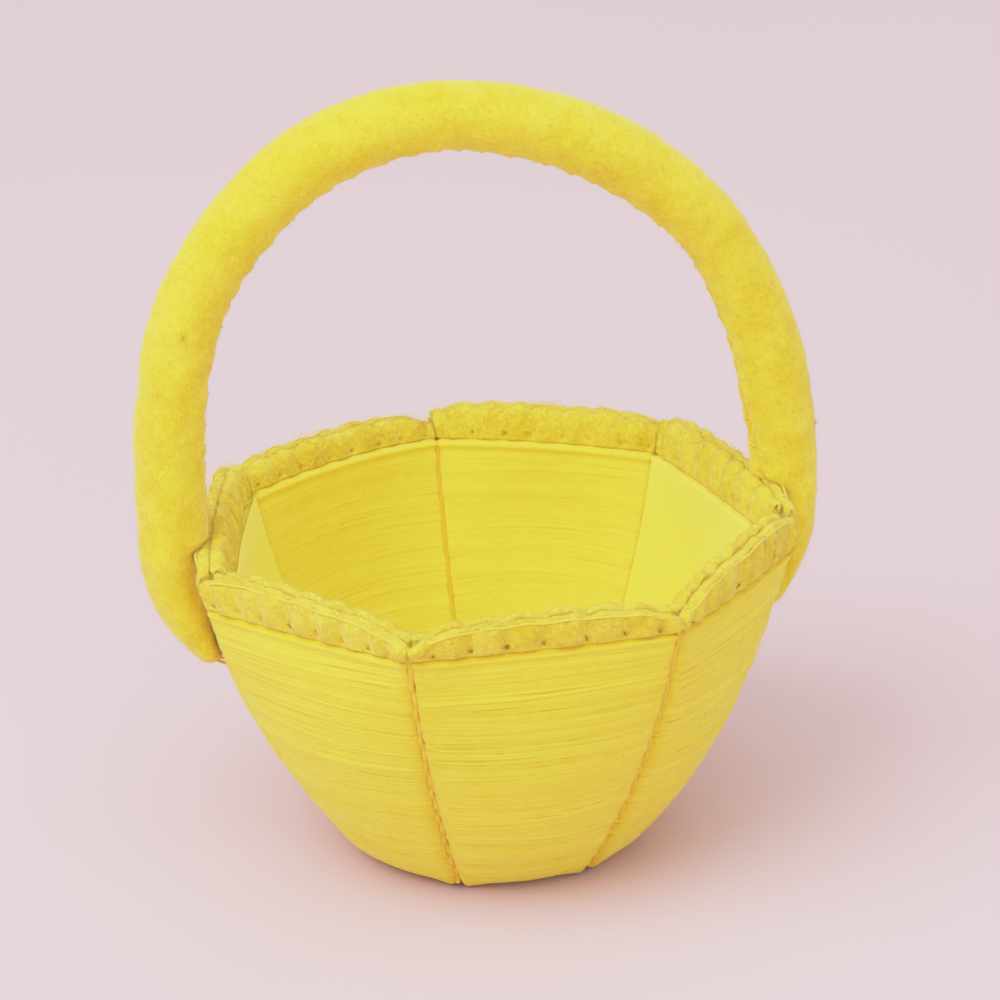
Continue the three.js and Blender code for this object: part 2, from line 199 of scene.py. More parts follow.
def set_cloth(principled, roughness, sheen, subsurface):
    for socket, value in (
        ("Roughness", roughness), ("Specular IOR Level", 0.15),
        ("Sheen Weight", sheen), ("Sheen Roughness", 0.5), ("Sheen Tint", (1.0, 0.93, 0.6, 1)),
        ("Subsurface Weight", subsurface), ("Subsurface Radius", (1.0, 0.75, 0.12)),
        ("Subsurface Scale", 0.7 * MM),
    ):
        principled.inputs[socket].default_value = value


def noise(node, link, vector, **values):
    texture = node("TexNoise", **values)
    link(vector, texture.inputs["Vector"])
    return texture.outputs["Fac"]


def ramp(node, link, source, low_colour, high_colour, start=0.0, end=1.0):
    """The colour between two for each value of the source."""
    colours = node("ValToRGB")
    first, last = colours.color_ramp.elements
    first.position, first.color = start, (*low_colour, 1)
    last.position, last.color = end, (*high_colour, 1)
    link(source, colours.inputs["Fac"])
    return colours.outputs["Color"]


def weighted(node, link, source, weight, added):
    """The output of source * weight + added."""
    total = node("Math", operation="MULTIPLY_ADD")
    total.inputs[1].default_value = weight
    link(source, total.inputs[0])
    link(added, total.inputs[2])
    return total.outputs["Value"]


def finish_cloth(principled, node, link, colour, height, strength, distance):
    """Give the shader its colour and its bump."""
    link(colour, principled.inputs["Base Color"])
    bump = node("Bump", Strength=strength, Distance=distance * MM)
    link(height, bump.inputs["Height"])
    link(bump.outputs["Normal"], principled.inputs["Normal"])


def strand_material(name, deep, light, streak=9.0):
    """Yarn or thread: the mesh gives each point a tone, which carries painted shade in the strands' crevices,
    and its place along and across the strands.
    """
    made, principled, node, link = shader(name)
    set_cloth(principled, 0.78, 0.25, 0.25)
    flow = node("Attribute", attribute_name="flow").outputs["Vector"]
    tone = node("Attribute", attribute_name="tone").outputs["Fac"]
    stretch = node("Mapping", Scale=(1.2, streak, 1.0))
    link(flow, stretch.inputs["Vector"])
    hairs = noise(node, link, stretch.outputs["Vector"], Scale=1.0, Detail=5.0, Roughness=0.65)
    patches = noise(node, link, flow, Scale=0.25, Detail=2.0)
    streaked = weighted(node, link, hairs, 0.35, tone)
    patched = weighted(node, link, patches, 0.3, streaked)
    centred = node("Math", operation="SUBTRACT")
    centred.inputs[1].default_value = 0.32
    link(patched, centred.inputs[0])
    colour = ramp(node, link, centred.outputs["Value"], deep, light)
    finish_cloth(principled, node, link, colour, hairs, 0.5, 0.05)
    return made


def felt_material(name, deep, light, bump=0.6):
    """Wool felt: matted fibres at three scales, from fine hairs to soft patches."""
    made, principled, node, link = shader(name)
    set_cloth(principled, 0.92, 0.45, 0.3)
    at = node("TexCoord").outputs["Object"]
    hairs = noise(node, link, at, Scale=5200.0, Detail=6.0, Roughness=0.7, Distortion=1.4)
    mats = noise(node, link, at, Scale=1100.0, Detail=5.0, Roughness=0.6, Distortion=2.0)
    patches = noise(node, link, at, Scale=190.0, Detail=3.0)
    matted = weighted(node, link, hairs, 0.45, mats)
    patched = weighted(node, link, patches, 0.6, matted)
    lowered = node("Math", operation="MULTIPLY")
    lowered.inputs[1].default_value = 0.75
    link(patched, lowered.inputs[0])
    colour = ramp(node, link, lowered.outputs["Value"], deep, light, 0.62, 1.0)
    finish_cloth(principled, node, link, colour, matted, bump, 0.12)
    return made


def card_material():
    made, principled, node, link = shader("grey_card")
    principled.inputs["Roughness"].default_value = 0.9
    at = node("TexCoord").outputs["Object"]
    pulp = noise(node, link, at, Scale=900.0, Detail=8.0, Roughness=0.7)
    colour = ramp(node, link, pulp, (0.36, 0.26, 0.14), (0.55, 0.43, 0.27), 0.3, 0.7)
    finish_cloth(principled, node, link, colour, pulp, 0.3, 0.05)
    return made


def floor_material():
    made, principled, node, link = shader("pale_floor")
    principled.inputs["Roughness"].default_value = 0.6
    cloud = noise(node, link, node("TexCoord").outputs["Object"], Scale=3.0, Detail=2.0)
    colour = ramp(node, link, cloud, (0.66, 0.475, 0.54), (0.70, 0.515, 0.585), 0.3, 0.7)
    link(colour, principled.inputs["Base Color"])
    return made


YARN = strand_material("wound_yarn", (0.76, 0.52, 0.022), (0.92, 0.76, 0.085), streak=26.0)
RIM_THREAD = strand_material("rim_thread", (0.66, 0.40, 0.02), (0.90, 0.72, 0.12))
# Dark colour for the painted shade of the needle holes, and for a dark speck of lint.
DARK_THREAD = strand_material("hole_shade_and_speck_thread", (0.16, 0.10, 0.01), (0.34, 0.24, 0.03))
# Orange thread, its deep orange partly painted shade of the seam grooves it fills.
SEAM_THREAD = strand_material("seam_thread", (0.76, 0.40, 0.02), (0.88, 0.57, 0.06))
FELT = felt_material("petal_felt", (0.76, 0.54, 0.02), (0.92, 0.76, 0.09))
HANDLE_FELT = felt_material("handle_felt", (0.73, 0.50, 0.016), (0.90, 0.74, 0.075))
LINING = felt_material("smooth_lining", (0.90, 0.77, 0.07), (0.94, 0.83, 0.12), bump=0.12)
CORD = strand_material("core_cord", (0.42, 0.34, 0.18), (0.72, 0.66, 0.48))
CARD = card_material()
FLOOR = floor_material()


# ---------------------------------------------------------------- mesh making
def make_piece(name, points, faces, material, slot, replaces=(), tone=None, flow=None):
    """A piece on the root body from points in millimetres and faces of three or four corners."""
    mesh = bpy.data.meshes.new(name)
    mesh.vertices.add(len(points))
    mesh.vertices.foreach_set("co", (np.asarray(points) * MM).astype(np.float32).ravel())
    groups = [np.asarray(f, np.int32) for f in faces if len(f)]
    corners = np.concatenate([f.ravel() for f in groups])
    sizes = np.concatenate([np.full(len(f), f.shape[1], np.int32) for f in groups])
    starts = np.concatenate([[0], np.cumsum(sizes)[:-1]]).astype(np.int32)
    mesh.loops.add(len(corners))
    mesh.polygons.add(len(sizes))
    mesh.loops.foreach_set("vertex_index", corners)
    mesh.polygons.foreach_set("loop_start", starts)
    mesh.polygons.foreach_set("use_smooth", np.full(len(sizes), True))
    mesh.update(calc_edges=True)
    mesh.validate()
    if tone is not None:
        data = mesh.attributes.new("tone", "FLOAT", "POINT").data
        data.foreach_set("value", tone.astype(np.float32).ravel())
    if flow is not None:
        data = mesh.attributes.new("flow", "FLOAT_VECTOR", "POINT").data
        data.foreach_set("vector", flow.astype(np.float32).ravel())
    mesh.materials.append(material)
    piece = add_object(name, mesh)
    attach(piece, "root")
    if replaces:
        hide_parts(*replaces)
    return piece


def grid_faces(rows, columns, close_rows, close_columns):
    """Quads over a grid of points stored row by row, facing (row direction) x (column direction)."""
    r = np.arange(rows if close_rows else rows - 1)
    c = np.arange(columns if close_columns else columns - 1)
    r, c = np.meshgrid(r, c, indexing="ij")
    r2, c2 = (r + 1) % rows, (c + 1) % columns
    quads = np.stack([r * columns + c, r2 * columns + c, r2 * columns + c2, r * columns + c2], -1)
    return quads.reshape(-1, 4)


def end_fans(rows, sides):
    """Triangles that close both ends of a tube, round two middle points stored after its rows."""
    c = np.arange(sides)
    c2 = (c + 1) % sides
    middle, last = rows * sides, (rows - 1) * sides
    start = np.stack([np.full(sides, middle), c2, c], -1)
    finish = np.stack([np.full(sides, middle + 1), last + c, last + c2], -1)
    return np.concatenate([start, finish])


def turned(points, index):
    """Points of a petal drawn at the front, moved to the petal's own place."""
    a = index * STEP
    x, y, z = np.moveaxis(points, -1, 0)
    return np.stack([x * math.cos(a) - y * math.sin(a), x * math.sin(a) + y * math.cos(a), z], -1)


def waves(rng, count, shortest, longest, span):
    """A smooth random function along a length: a sum of waves, between about -1 and 1."""
    lengths = np.exp(rng.uniform(math.log(shortest), math.log(longest), count))
    phases = rng.uniform(0, 2 * math.pi, count)
    weights = rng.uniform(0.5, 1.0, count)
    weights /= np.sqrt((weights**2).sum() / 2) * 1.6
    return lambda at: sum(w * np.sin(2 * math.pi * at / n + p) for w, n, p in zip(weights, lengths, phases))


def lattice(points, size, seed):
    """Smooth value noise between -1 and 1 at points, with a grid of the given size."""
    table = np.random.default_rng(seed).uniform(-1, 1, 4096)
    scaled = np.asarray(points) / size
    cell = np.floor(scaled).astype(np.int64)
    part = scaled - cell
    part = part * part * (3 - 2 * part)
    total = np.zeros(scaled.shape[:-1])
    for corner in range(8):
        offset = np.array([corner & 1, corner >> 1 & 1, corner >> 2 & 1])
        key = (cell + offset) @ np.array([73856093, 19349663, 83492791])
        weight = np.where(offset, part, 1 - part).prod(-1)
        total += weight * table[key % 4096]
    return total


def unit(vectors):
    return vectors / np.maximum(np.linalg.norm(vectors, axis=-1, keepdims=True), 1e-9)


def normals(grid):
    """Unit normals of a grid of points, row direction x column direction."""
    return unit(np.cross(np.gradient(grid, axis=0), np.gradient(grid, axis=1)))


def distances(path):
    """How far along a path each of its points lies."""
    return np.concatenate([[0], np.cumsum(np.linalg.norm(np.diff(path, axis=0), axis=1))])


def spline(points, count):
    """Points at even distances on a smooth curve through the given ones."""
    points = np.asarray(points, float)
    gaps = np.sqrt(np.linalg.norm(np.diff(points, axis=0), axis=1))
    knots = np.concatenate([[0], np.cumsum(gaps)])
    slopes = np.empty_like(points)
    for axis in range(points.shape[1]):
        slopes[:, axis] = np.gradient(points[:, axis], knots)
    fine = np.linspace(0, knots[-1], 40 * len(points))
    i = np.clip(np.searchsorted(knots, fine, side="right") - 1, 0, len(knots) - 2)
    width = (knots[i + 1] - knots[i])[:, None]
    t = ((fine - knots[i])[:, None]) / width
    curve = (2 * t**3 - 3 * t**2 + 1) * points[i] + (t**3 - 2 * t**2 + t) * slopes[i] * width
    curve = curve + (3 * t**2 - 2 * t**3) * points[i + 1] + (t**3 - t**2) * slopes[i + 1] * width
    length = distances(curve)
    even = np.linspace(0, length[-1], count)
    return np.stack([np.interp(even, length, curve[:, axis]) for axis in range(points.shape[1])], -1)


def side_frames(path, hint):
    """Two unit vectors square to a path, the first as near to the hint as it can be."""
    along = unit(np.gradient(path, axis=0))
    first = unit(hint - (along * hint).sum(1, keepdims=True) * along)
    return first, np.cross(along, first)


def tube(path, radius, sides=8, plies=0, lay=1.1, hint=(0.13, 0.31, 0.94)):
    """A closed tube of thread along a path, with the ridges of its twisted plies."""
    path = np.asarray(path, float)
    first, second = side_frames(path, np.asarray(hint, float))
    run = distances(path)
    angle = np.linspace(0, 2 * math.pi, sides, endpoint=False)
    twist = angle[None, :] + 2 * math.pi * run[:, None] / lay
    ridge = 1 + (0.16 * np.abs(np.cos(plies * twist / 2)) - 0.08 if plies else 0 * twist)
    radii = np.broadcast_to(np.asarray(radius, float), (len(path),))[:, None] * ridge
    ring = np.cos(angle)[None, :, None] * first[:, None] + np.sin(angle)[None, :, None] * second[:, None]
    points = (path[:, None] + radii[..., None] * ring).reshape(-1, 3)
    rows = len(path)
    ends = np.stack([path[0], path[-1]])
    quads = grid_faces(rows, sides, False, True)[:, ::-1]
    # The tone is lower in the grooves between plies than on their ridges: painted shade.
    tone = np.concatenate([(0.35 + 0.5 * (ridge - 0.92) / 0.16).ravel(), [0.4, 0.4]])
    flow = np.stack([np.repeat(run, sides), (twist * 0.2).ravel(), np.zeros(rows * sides)], -1)
    flow = np.concatenate([flow, np.zeros((2, 3))])
    return np.concatenate([points, ends]), [quads, end_fans(rows, sides)], tone, flow


def joined(parts):
    """Several tubes as the arguments of one piece."""
    points, quads, triangles, tones, flows = [], [], [], [], []
    first = 0
    for part_points, (part_quads, part_triangles), tone, flow in parts:
        points.append(part_points)
        quads.append(part_quads + first)
        triangles.append(part_triangles + first)
        tones.append(tone)
        flows.append(flow + len(points) * 7.3)
        first += len(part_points)
    faces = [np.concatenate(quads), np.concatenate(triangles)]
    return np.concatenate(points), faces, np.concatenate(tones), np.concatenate(flows)


def turned_parts(parts, index):
    return [(turned(points, index), faces, tone, flow) for points, faces, tone, flow in parts]


def thread_piece(name, parts, material, slot, replaces=()):
    points, faces, tone, flow = joined(parts)
    return make_piece(name, points, faces, material, slot, replaces, tone, flow)


SEGMENTS = 3  # of a hair
DROOP = 0.35  # how far its tip sinks back
UPRIGHT_SHARE, UPRIGHT_LIFT = 0.12, 2.2  # some hairs stand up more
ROOT_DEPTH = 0.06
FLOOR_AIR = 0.03  # hairs stay above the floor


def fibres(rng, roots, outward, length, lift, thickness):
    """Fine hairs as three-sided tubes that start under a surface, lie along it and curl up or down."""
    count = len(roots)
    random = rng.normal(size=(count, 3))
    along = unit(random - (random * outward).sum(1, keepdims=True) * outward)
    side = np.cross(outward, along)
    lengths = rng.uniform(*length, (count, 1, 1))
    lifts = rng.uniform(*lift, (count, 1, 1))
    lifts = lifts * np.where(rng.uniform(size=(count, 1, 1)) < UPRIGHT_SHARE, UPRIGHT_LIFT, 1)
    bend = rng.normal(0, 0.35, (count, 1, 1))
    t = np.linspace(0, 1, SEGMENTS + 1)[None, :, None]
    rise = lifts * (t - DROOP * t**2) - ROOT_DEPTH
    level = lengths * (t * along[:, None] + bend * t**2 * side[:, None])
    path = roots[:, None] + level + rise * outward[:, None]
    radii = thickness * (1 - 0.75 * t**2) * rng.uniform(0.7, 1.3, (count, 1, 1))
    corners = []
    for corner in range(3):
        a = 2 * math.pi * corner / 3
        corners.append(path + radii * (math.cos(a) * outward[:, None] + math.sin(a) * side[:, None]))
    points = np.stack(corners, 2)
    points[..., 2] = np.maximum(points[..., 2], FLOOR_AIR)
    rows = SEGMENTS + 1
    one = grid_faces(rows, 3, False, True)[:, ::-1]
    first = (np.arange(count) * rows * 3)[:, None, None]
    quads = (one[None] + first).reshape(-1, 4)
    caps = np.array([[0, 1, 2], [rows * 3 - 1, rows * 3 - 2, rows * 3 - 3]])[:, ::-1]
    triangles = (caps[None] + first).reshape(-1, 3)
    return points.reshape(-1, 3), [quads, triangles]


def scattered(rng, grid, count, keep=None):
    """Random places on a grid of points, with the surface's outward direction there."""
    outward = normals(grid)
    area = np.linalg.norm(np.cross(np.diff(grid, axis=0)[:, :-1], np.diff(grid, axis=1)[:-1]), axis=-1)
    if keep is not None:
        area = area * keep[:-1, :-1]
    odds = area.ravel() / area.sum()
    picked = rng.choice(len(odds), count, p=odds)
    r, c = np.unravel_index(picked, area.shape)
    s, t = rng.uniform(size=(2, count, 1))
    at = grid[r, c] * (1 - s) * (1 - t) + grid[r + 1, c] * s * (1 - t)
    at = at + grid[r, c + 1] * (1 - s) * t + grid[r + 1, c + 1] * s * t
    return at, outward[r, c]


# ---------------------------------------------------------------- yarn-wound petals
PITCH = 0.5  # between turns of yarn
TURN_RADIUS = 0.3
TURN_RELIEF = 0.45  # share of a turn's roundness that shows: the turns are felted together
STRAY_TURNS = 10  # that cross over the others
GAP_SHARE, GAP_DEPTH = 0.08, 0.22  # turns that sink out of sight here and there, and how deep
ROW = 0.095  # mesh rows up the petal
FACE_COLUMNS, EDGE_COLUMNS, SIDE_COLUMNS, INNER_COLUMNS = 46, 5, 3, 34
EDGE_ROUND = 2.1
INNER_ROUND = 0.8
SIDE_BEND_COLUMNS = 3
SLEEVE, SLEEVE_ROWS = 0.45, 12  # thickness of the winding's sleeve, and the rows of its hidden side
PROUD_SHARE, PROUD = 0.05, 0.07  # turns that stand above the others, and by how much
TONE_SPREAD, TURN_EDGE_SHADE = 0.07, 0.22  # from turn to turn, and painted shade from a turn's middle to its edge
LUMP = 0.07
ROLL, ROLL_HEIGHT = 0.5, 0.55  # how far both ends of the winding turn in
# The ridge and the groove near the top: height, distance from the top, and width.
RIM_BEAD = ((0.26, 0.7, 0.42), (-0.12, 1.7, 0.5))
TUCK, TUCK_HEIGHT, TUCK_CORNER = 1.8, 4.2, 5.0  # how the foot of the bowl curves in
FUZZ_FROM = 3  # no fuzz below, where it would meet the floor
INNER_CALM = 0.6  # share of the relief that the inner face loses
INNER_PAINTED_LIGHT = 0.3  # and how much paler it is, as painted light on the inner face
SEAM_SHADE, SEAM_SHADE_WIDE = 0.35, 1.3  # painted shade: how much deeper the yarn's colour is beside a seam, and how far out


def section(half):
    """One level plan section of a wound petal, x and depth, anticlockwise from its outer left."""
    inner = half - WALL * TAN
    slope = np.array([SIN, -COS])  # along the side, from the inner corner out
    corner = np.array([half, 0.0])
    back = np.array([inner, WALL])

    def arc(start, middle, end, count):
        t = np.linspace(0, 1, count + 2)[1:-1, None]
        return (1 - t) ** 2 * start + 2 * t * (1 - t) * middle + t**2 * end

    face_end = corner - np.array([EDGE_ROUND, 0])
    side_start = corner - slope * EDGE_ROUND
    side_end = back + slope * INNER_ROUND
    inner_start = back - np.array([INNER_ROUND, 0])
    outside = np.linspace(-1, 1, FACE_COLUMNS)[:, None] * np.array([face_end[0], 0])
    side = np.linspace(side_start, side_end, SIDE_COLUMNS)
    inside = np.stack([np.linspace(1, -1, INNER_COLUMNS) * inner_start[0], np.full(INNER_COLUMNS, WALL)], -1)
    outer_bend = arc(face_end, corner, side_start, EDGE_COLUMNS)
    right = [outer_bend, side, arc(side_end, back, inner_start, SIDE_BEND_COLUMNS)]
    left = [part[::-1] * np.array([-1, 1]) for part in reversed(right)]
    return np.concatenate([outside, *right, inside, *left])


def winding(rng, run, around, length):
    """Relief of the wound yarn: the upper surface of all its turns, and each point's tone, with painted shade
    at the turns' edges and in the gaps between them.
    """
    relief = np.full((len(run), len(around)), -GAP_DEPTH)
    # Where no turn shows, in the gaps between turns, the tone is low: painted shade.
    tone = np.full(relief.shape, 0.25)
    once_round = around / around[-1]
    sway = waves(rng, 5, 25, 90, length)
    turns = [(i * PITCH + rng.normal(0, 0.04), PITCH, 0.0, 0.05) for i in range(int(length / PITCH) + 1)]
    for _ in range(STRAY_TURNS):
        turns.append((rng.uniform(2, length - 2), rng.choice([-1, 1]) * rng.uniform(1.0, 3.0), 0.09, 0.1))
    for start, climb, lift, wobble in turns:
        wander = waves(rng, 4, 12, 70, length)
        level = start + climb * (once_round - 0.5) + wobble * wander(around) + 0.10 * sway(around + 3 * start)
        radius = TURN_RADIUS * rng.uniform(0.92, 1.1)
        raised = lift + 0.03 * waves(rng, 3, 9, 40, length)(around) + rng.normal(0, 0.018)
        if rng.uniform() < PROUD_SHARE:
            raised = raised + PROUD
        if rng.uniform() < GAP_SHARE:
            raised = raised - GAP_DEPTH * np.clip(1.3 * waves(rng, 3, 18, 60, length)(around), 0, 1)
        shade = rng.normal(0.5, TONE_SPREAD)
        first, last = np.searchsorted(run, [level.min() - radius, level.max() + radius])
        offset = (run[first:last, None] - level[None, :]) / radius
        profile = radius * np.sqrt(np.maximum(1 - offset**2, 0)) - radius
        top = np.where(np.abs(offset) < 1, raised + TURN_RELIEF * profile, -1)
        part, tones = relief[first:last], tone[first:last]
        higher = top > part
        # A turn's tone falls towards its edges: painted shade where the turns meet.
        tones[higher] = (shade - TURN_EDGE_SHADE * np.abs(offset) ** 3)[higher]
        part[higher] = top[higher]
    return relief, tone


def wound_petal(name, index):
    rng = np.random.default_rng(100 + index)
    levels = np.linspace(YARN_BOTTOM, YARN_TOP, 400)
    climb = np.concatenate([[0], np.cumsum(np.hypot(np.diff(levels), np.diff(face(levels) + BULGE(levels))))])
    rows = int(climb[-1] / ROW)
    run = np.linspace(0, climb[-1], rows)
    level = np.interp(run, climb, levels)
    plans = np.stack([section(half_width(z) - SIDE_GAP / COS) for z in level])
    widest = plans[rows // 2]
    around = distances(widest)
    relief, tone = winding(rng, run, around, climb[-1])
    lumps = LUMP * waves(rng, 6, 3, 16, climb[-1])(run)[:, None]
    from_end = np.minimum(run, run[-1] - run)[:, None]
    from_top = run[-1] - run[:, None]
    rolled = -ROLL * np.clip(1 - from_end / ROLL_HEIGHT, 0, 1) ** 2
    rim_bead = sum(high * np.exp(-(((from_top - at) / wide) ** 2)) for high, at, wide in RIM_BEAD)
    from_corner = half_width(level)[:, None] - np.abs(plans[..., 0])
    inwards = np.clip(plans[..., 1] / WALL, 0, 1)
    tucked = -TUCK * np.clip(1 - run[:, None] / TUCK_HEIGHT, 0, 1) ** 2.2
    tucked = tucked * np.clip(from_corner / TUCK_CORNER, 0.25, 1)
    calm = 1 - INNER_CALM * inwards
    swell = relief * calm + lumps + rolled + rim_bead + tucked
    tangent = np.gradient(plans, axis=1)
    outward = unit(np.stack([tangent[..., 1], -tangent[..., 0]], -1))
    outer = plans + outward * swell[..., None]
    sleeve_rows = np.linspace(rows - 1, 0, SLEEVE_ROWS).astype(int)
    inner = (plans + outward * (np.minimum(rolled + tucked, 0) - SLEEVE)[..., None])[sleeve_rows]
    plan = np.concatenate([outer, inner])
    level = np.concatenate([level, level[sleeve_rows]])[:, None]
    grid = turned(place(name, plan[..., 0], plan[..., 1], level), index)
    # Painted shade: the yarn is painted deeper beside each seam, where it turns into the groove.
    seam_shade = SEAM_SHADE * np.exp(-((from_corner / SEAM_SHADE_WIDE) ** 2))
    # Painted light: the inner face is painted paler.
    tone = 0.5 + (tone - 0.5) * calm + INNER_PAINTED_LIGHT * inwards - seam_shade
    full_tone = np.concatenate([tone, np.zeros((SLEEVE_ROWS, tone.shape[1]))])
    full_run = np.concatenate([run, run[sleeve_rows]])
    flow = np.stack(np.broadcast_arrays(around[None, :], full_run[:, None], 11.0 * index), -1)
    faces = [grid_faces(len(grid), grid.shape[1], True, True)[:, ::-1]]
    points, replaced = grid.reshape(-1, 3), [f"yarn_wrap_{name}"]
    make_piece(f"yarn_{name}", points, faces, YARN, "yarn", replaced, full_tone, flow)
    shown = grid[:rows:3]
    at, outward = scattered(rng, shown, 6000, shown[..., 2] > FUZZ_FROM)
    points, faces = fibres(rng, at, -outward, (0.7, 2.2), (0.08, 0.4), 0.013)
    tone = np.full(len(points), 0.7)
    make_piece(f"yarn_fuzz_{name}", points, faces, YARN, "yarn", (), tone, points * 0.4)


# ---------------------------------------------------------------- felt petals and their stitched rim
BARE_FELT = 1.95  # thickness above the winding
PRESSED_FELT = 0.7
PRESSED_AT = {"outer": 0.87, "inner": 2.9}  # depths of the layers under the yarn
BARE_AT = {"outer": 0.2, "inner": 2.25}  # and above it
OUTWARD = {"outer": -1, "inner": 1}
PUFF = {"outer": 0.48, "inner": 0.48}  # how far the felt swells between stitches
TOP_DIP = {"outer": 0.2, "inner": 0.6}  # how far the stitches pull the top edge down
PINCH = 1.15  # half width of the furrow that a stitch draws
SOFTNESS = {"right": 0.5, "back_right": 0.7, "back_left": 0.7}  # a petal's share of the puffs and furrows
DIMPLE_WIDE, DIMPLE_TALL, DIMPLE_RISE = 0.34, 0.45, 1.0  # where a needle went in above the winding
OUTER_DOME, HIDDEN_DOME, END_DOME = 6, 30, 36  # a higher power makes a squarer edge
HIDDEN_MARGIN = 0.9
INNER_RISE = 0.3  # the inner layer stands a little higher
FELT_COLUMNS = 150
STITCHES = {"front": 7, "back_right": 8}
USUAL_STITCHES = 8
RIM_SIDE_AIR = 0.01


def stitch_places(name, index):
    """Where a petal's stitches cross its top edge, from -1 to 1 of its half width."""
    rng = np.random.default_rng(300 + index)
    count = STITCHES.get(name, USUAL_STITCHES)
    places = (np.arange(count) + 0.5) / count * 2 - 1
    return places * 0.97 + rng.uniform(-0.25, 0.25, count) / count


def felt_levels():
    """Levels up one side of a felt, few where the yarn covers it and many above."""
    hidden = np.linspace(YARN_BOTTOM + 4.0, YARN_TOP - 1.0, 10)
    bare = YARN_TOP - 0.5 + (RIM_TOP - YARN_TOP + 0.5) * np.sin(np.linspace(0, math.pi / 2, 30))
    return np.concatenate([hidden, bare])


def closed_slab(rows, columns, half_rows):
    """Faces of a slab whose rows run up one side, over the top and down the other."""
    quads = [grid_faces(rows, columns, True, False)]
    triangles = []
    for column, flip in ((0, 1), (columns - 1, -1)):
        end = np.arange(rows) * columns + column
        for i in range(half_rows - 2):
            quads.append(np.array([[end[i], end[i + 1], end[-i - 2], end[-i - 1]]])[:, ::flip])
        top = half_rows - 2
        triangles.append([end[top], end[top + 1], end[-top - 1]][::flip])
    return np.concatenate(quads), np.array(triangles)


def felt_petal(name, index, layer):
    """One felt layer of a petal: pressed flat under the yarn, puffed between its stitches above it."""
    rng = np.random.default_rng(500 + 10 * index + OUTWARD[layer])
    side = OUTWARD[layer]
    level = felt_levels()
    bare = np.clip((level - YARN_TOP + 0.3) / 0.7, 0, 1)
    bare = bare * bare * (3 - 2 * bare)
    up = np.clip((level - YARN_TOP) / (RIM_TOP - YARN_TOP), 0, 1)
    across = np.linspace(-1, 1, FELT_COLUMNS)
    across = 0.6 * across + 0.4 * np.sin(across * math.pi / 2)
    rim_x = across * (half_width(YARN_TOP) - 0.1)
    stitch_x = stitch_places(name, index) * (half_width(YARN_TOP) - 0.1)
    pinch = np.exp(-(((rim_x[:, None] - stitch_x[None, :]) / PINCH) ** 2)).sum(1).clip(0, 1)
    lumps = waves(rng, 5, 3, 14, 40)
    swelling = SOFTNESS.get(name, 1.0) * ((1 - pinch) * (1 + 0.4 * lumps(rim_x)) - 0.5 * pinch)
    arch = np.sin(math.pi * np.clip(up * 0.84 + 0.1, 0, 1)) ** 0.8
    bulge = PUFF[layer] * swelling[None, :] * (arch * bare)[:, None]
    dimples = 0.0
    for x in stitch_x:
        spot = ((rim_x[None, :] - x) / DIMPLE_WIDE) ** 2
        spot = spot + ((level[:, None] - YARN_TOP - DIMPLE_RISE) / DIMPLE_TALL) ** 2
        dimples = dimples + rng.uniform(0.25, 0.75) * np.exp(-spot)
    dome, squarer = (np.sqrt(np.clip(1 - up**power, 0, 1))[:, None] for power in (OUTER_DOME, HIDDEN_DOME))
    thick = (PRESSED_FELT + (BARE_FELT - PRESSED_FELT) * bare)[:, None]
    start = (PRESSED_AT[layer] + (BARE_AT[layer] - PRESSED_AT[layer]) * bare)[:, None]
    ends = np.sqrt(np.clip(1 - np.abs(across) ** END_DOME, 0.02, 1))[None, :]
    shown = start + thick / 2 + side * dome * (thick / 2 * ends + bulge - dimples * bare[:, None])
    hidden = start + thick / 2 - side * squarer * thick / 2 * ends
    depth = np.concatenate([shown, hidden[::-1][1:]])
    level, bare, up = (np.concatenate([v, v[::-1][1:]])[:, None] for v in (level, bare, up))
    half = half_width(level) - RIM_SIDE_AIR - HIDDEN_MARGIN * (1 - bare)
    x = across[None, :] * (half - depth * TAN * np.abs(across[None, :]) ** 6)
    grid = place(name, x, depth, level)
    grid[..., 2] -= (TOP_DIP[layer] * pinch[None, :] + 0.15 * lumps(rim_x + 9)[None, :]) * up**2
    grid[..., 2] += (INNER_RISE if layer == "inner" else 0.0) * up**2
    rough = 0.11 * lattice(grid, 1.7, 7 + index) + 0.07 * lattice(grid, 0.6, 8 + index)
    grid = turned(grid - side * normals(grid) * (rough * bare)[..., None], index)
    rows, columns = grid.shape[:2]
    quads, triangles = closed_slab(rows, columns, len(felt_levels()))
    faces = [quads[:, ::-side], triangles[:, ::-side]]
    make_piece(f"felt_{layer}_{name}", grid.reshape(-1, 3), faces, FELT, "felt", [f"{layer}_felt_{name}"])
    at, outward = scattered(rng, grid, 6500, np.broadcast_to(up > 0.02, (rows, columns)))
    points, faces = fibres(rng, at, outward * -side, (0.6, 2.4), (0.15, 0.8), 0.016)
    make_piece(f"felt_fuzz_{layer}_{name}", points, faces, FELT, "felt")


EDGE_THREAD, HAIRPIN_THREAD, LOOSE_THREAD, HOLE_SHADE_THREAD = 0.15, 0.12, 0.06, 0.1
LOOSE_THREADS = {"front_right": 6, "front": 3, "front_left": 3}  # frayed ends that lie on the top edge
HOLE_SHADE_MARKS = {"front": 1, "front_left": 3, "front_right": 3}  # a short thread at the needle hole of every stitch, or every third, painted dark as the hole's painted shade
